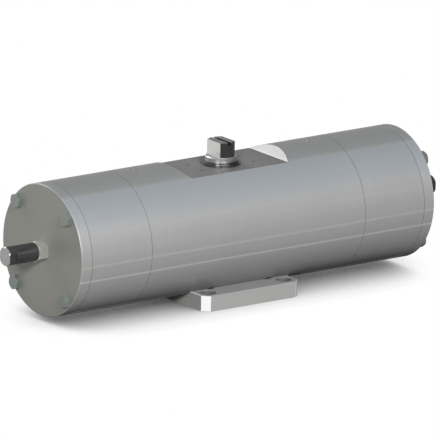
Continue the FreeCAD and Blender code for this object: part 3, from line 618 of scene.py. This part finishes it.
class ACTUATOR_OT_studio(bpy.types.Operator):
    """Camera at the photograph's angle, soft lamps, pale floor and white surroundings"""

    bl_idname = "actuator.studio"
    bl_label = "Studio"

    def execute(self, context):
        values = context.scene.actuator_studio
        middle = Vector((0, 0, AXIS_HEIGHT))
        self.add_camera(values, middle)
        for name, (azimuth, elevation, distance, wide, tall) in LAMPS.items():
            spot = middle + toward(azimuth, elevation) * distance
            power = getattr(values, name + "_power")
            lamp = add_area(name + "_lamp", spot, middle, wide, tall, power)
            lamp.visible_glossy = name != "rear"
        self.add_floor()
        self.light_room(values)
        context.scene.view_settings.view_transform = "Standard"
        return {"FINISHED"}

    def add_camera(self, values, middle):
        """A long lens far away, so that the view is nearly parallel as in the photograph."""
        back = toward(values.azimuth, values.elevation)
        turn = math.radians(values.azimuth)
        side = Vector((math.cos(turn), math.sin(turn), 0))
        rise = back.cross(side)
        tilt = math.radians(values.roll)
        across = side * math.cos(tilt) + rise * math.sin(tilt)
        up = rise * math.cos(tilt) - side * math.sin(tilt)
        data = bpy.data.cameras.new("camera")
        data.sensor_width = 36
        data.lens = values.lens
        distance = values.view_width * values.lens / data.sensor_width
        pixel = values.view_width / PHOTO_WIDTH
        target = middle + (across * VIEW_SHIFT[0] + up * VIEW_SHIFT[1]) * pixel
        data.clip_start = distance * 0.5
        data.clip_end = distance * 3
        camera = bpy.data.objects.new("camera", data)
        spot = target + back * distance
        basis = Matrix((across, up, back)).transposed().to_4x4()
        camera.matrix_world = Matrix.Translation(spot) @ basis
        bpy.context.scene.collection.objects.link(camera)
        bpy.context.scene.camera = camera

    def add_floor(self):
        """A pale round floor that fades out far from the object."""
        mesh = bpy.data.meshes.new("floor")
        shape = bmesh.new()
        bmesh.ops.create_circle(shape, cap_ends=True, segments=96, radius=FLOOR_RADIUS)
        shape.to_mesh(mesh)
        shape.free()
        floor = bpy.data.objects.new("floor", mesh)
        floor.location.z = -FLOOR_DROP
        material, pen = new_material("pale_floor")
        surface = pen.node("ShaderNodeBsdfDiffuse", {}, {"Color": (0.06, 0.06, 0.06, 1)})
        white = pen.node("ShaderNodeEmission", {}, {"Strength": 1.0})
        reach = {"Distance": SHADOW_REACH}
        open_sky = pen.node("ShaderNodeAmbientOcclusion", {"samples": 8}, reach, 1)
        seen, mirrored = pen.rays()
        along, across, _ = pen.parts(pen.place())
        behind = pen.step(across * 0.8 - along * 0.6, -0.1, 0.5, ROOM_DARK, 1.0)
        mask = (seen + mirrored * behind) * pen.step(open_sky, 0.0, 0.65)
        both = pen.node("ShaderNodeMixShader", {}, [mask, surface, white])
        pen.node("ShaderNodeOutputMaterial", {}, {"Surface": both})
        mesh.materials.append(material)
        bpy.context.scene.collection.objects.link(floor)

    def light_room(self, values):
        """White to the camera, a room darker in front for metal, even soft light for the rest."""
        world = bpy.data.worlds.new("room")
        world.use_nodes = True
        pen = Pen(world.node_tree)
        seen, mirrored = pen.rays()
        along, across, height = pen.parts(pen.node("ShaderNodeTexCoord"))
        behind = pen.step(across * 0.8 - along * 0.6, 0.1, 0.7, ROOM_DARK, 1.0)
        overhead = pen.step(height, 0.4, 0.8)
        strength = mirrored * (behind + overhead * 0.25) + (1 - mirrored) * values.sky
        tone = pen.blend(overhead * mirrored, (1, 0.99, 0.97), (0.66, 0.83, 1.0))
        room = pen.node("ShaderNodeBackground", {}, {"Color": tone, "Strength": strength})
        white = pen.node("ShaderNodeBackground", {}, {"Color": (1, 1, 1, 1), "Strength": 1.0})
        both = pen.node("ShaderNodeMixShader", {}, [seen, room, white])
        pen.node("ShaderNodeOutputWorld", {}, {"Surface": both})
        bpy.context.scene.world = world


class ACTUATOR_OT_finishes(bpy.types.Operator):
    """Give every solid of the actuator its finish"""

    bl_idname = "actuator.finishes"
    bl_label = "Finishes"

    def execute(self, context):
        """Make each finish once and hand it to its solids."""
        values = context.scene.actuator_finish
        made = {"turned_steel": turned_steel(values), "faced_steel": faced_steel(values),
                "cover_steel": cover_steel(values), "shaft_steel": shaft_steel(values)}
        for name, row in PLAIN_METALS.items():
            made[name] = plain_metal(name, *row)
        for name, row in SOFT_PLAINS.items():
            made[name] = soft_plain(name, *row)
        for finish, nodes in FINISHES.items():
            for node in nodes:
                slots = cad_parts[node].data.materials
                slots.clear()
                slots.append(made[finish])
        return {"FINISHED"}


def thread_piece(name, middle, axis, pitch, radius, length, depth, finish, body):
    """A helical thread on the wall of a tapped hole, its ridges pointing inward."""
    mesh = bpy.data.meshes.new(name)
    shape = bmesh.new()
    axis = Vector(axis).normalized()
    side = axis.orthogonal().normalized()
    other = axis.cross(side)
    turns = int((length - pitch) / pitch)
    last = turns * THREAD_STEPS
    profile = [(-0.42, 0.0), (-0.08, -depth), (0.08, -depth), (0.42, 0.0)]
    rows = []
    for index in range(last + 1):
        turn = 2 * math.pi * index / THREAD_STEPS
        out = side * math.cos(turn) + other * math.sin(turn)
        fade = min(1.0, index / THREAD_STEPS * 2, (last - index) / THREAD_STEPS * 2)
        row = []
        for along, inward in profile:
            rise = (index / THREAD_STEPS + 0.5 + along) * pitch
            reach = radius - 0.00002 + inward * fade
            row.append(shape.verts.new(middle + axis * rise + out * reach))
        rows.append(row)
    for first, second in zip(rows, rows[1:]):
        for index in range(len(profile)):
            following = (index + 1) % len(profile)
            shape.faces.new((first[index], second[index], second[following], first[following]))
    shape.faces.new(rows[0])
    shape.faces.new(list(reversed(rows[-1])))
    bmesh.ops.recalc_face_normals(shape, faces=shape.faces)
    shape.to_mesh(mesh)
    shape.free()
    for face in mesh.polygons:
        face.use_smooth = True
    piece = bpy.data.objects.new(name, mesh)
    mesh.materials.append(bpy.data.materials[finish])
    bpy.context.scene.collection.objects.link(piece)
    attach(piece, body)
    return piece


class ACTUATOR_OT_threads(bpy.types.Operator):
    """Threads in the mounting holes, air ports and lifting holes"""

    bl_idname = "actuator.threads"
    bl_label = "Threads"

    def execute(self, context):
        corners = ((1, 1), (1, -1), (-1, 1), (-1, -1))
        for number, (x, y) in enumerate(corners, start=1):
            for kind, circle in (("mount", MOUNT_CIRCLE), ("inner", INNER_CIRCLE)):
                reach = circle / 2 * math.sqrt(0.5)
                spot = (x * reach, y * reach, THREAD_FOOT)
                self.add_thread(context, kind, number, spot, (0, 0, 1))
        for number, x in enumerate(PORT_PLACES, start=1):
            self.add_thread(context, "port", number, (x, PORT_FOOT, AXIS_HEIGHT), (0, 1, 0))
        for number, x in enumerate(LIFTING_PLACES, start=1):
            self.add_thread(context, "lifting", number, (x, 0, LIFTING_FOOT), (0, 0, 1))
        return {"FINISHED"}

    def add_thread(self, context, kind, number, spot, axis):
        """One thread of a kind, numbered, from a spot along an axis."""
        pitch = getattr(context.scene.actuator_thread, kind + "_pitch")
        name = kind + "_thread_" + str(number)
        thread_piece(name, Vector(spot), axis, pitch, *THREADS[kind], "turned_steel", "housing")


class ACTUATOR_PT_panel(bpy.types.Panel):
    """Lists the steps that dress the actuator"""

    bl_idname = "ACTUATOR_PT_panel"
    bl_label = "Actuator"
    bl_space_type = "VIEW_3D"
    bl_region_type = "UI"
    bl_category = "Actuator"

    def draw(self, context):
        for group in (context.scene.actuator_finish, context.scene.actuator_studio,
                      context.scene.actuator_thread):
            for name in group.bl_rna.properties.keys():
                if name not in ("rna_type", "name"):
                    self.layout.prop(group, name)
        for operator in OPERATORS:
            self.layout.operator(operator.bl_idname)


OPERATORS = (ACTUATOR_OT_studio, ACTUATOR_OT_finishes, ACTUATOR_OT_threads)
GROUPS = {
    "actuator_finish": FinishSettings,
    "actuator_studio": StudioSettings,
    "actuator_thread": ThreadSettings,
}


def register():
    """Make the settings, operators and panel known to Blender."""
    for name, group in GROUPS.items():
        bpy.utils.register_class(group)
        setattr(bpy.types.Scene, name, bpy.props.PointerProperty(type=group))
    for item in (*OPERATORS, ACTUATOR_PT_panel):
        bpy.utils.register_class(item)


def unregister():
    """Take them out again."""
    for item in (ACTUATOR_PT_panel, *reversed(OPERATORS)):
        bpy.utils.unregister_class(item)
    for name, group in reversed(GROUPS.items()):
        delattr(bpy.types.Scene, name)
        bpy.utils.unregister_class(group)


def main():
    """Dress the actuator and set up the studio."""
    register()
    bpy.ops.actuator.studio()
    bpy.ops.actuator.finishes()
    bpy.ops.actuator.threads()


if __name__ == "__main__":
    main()
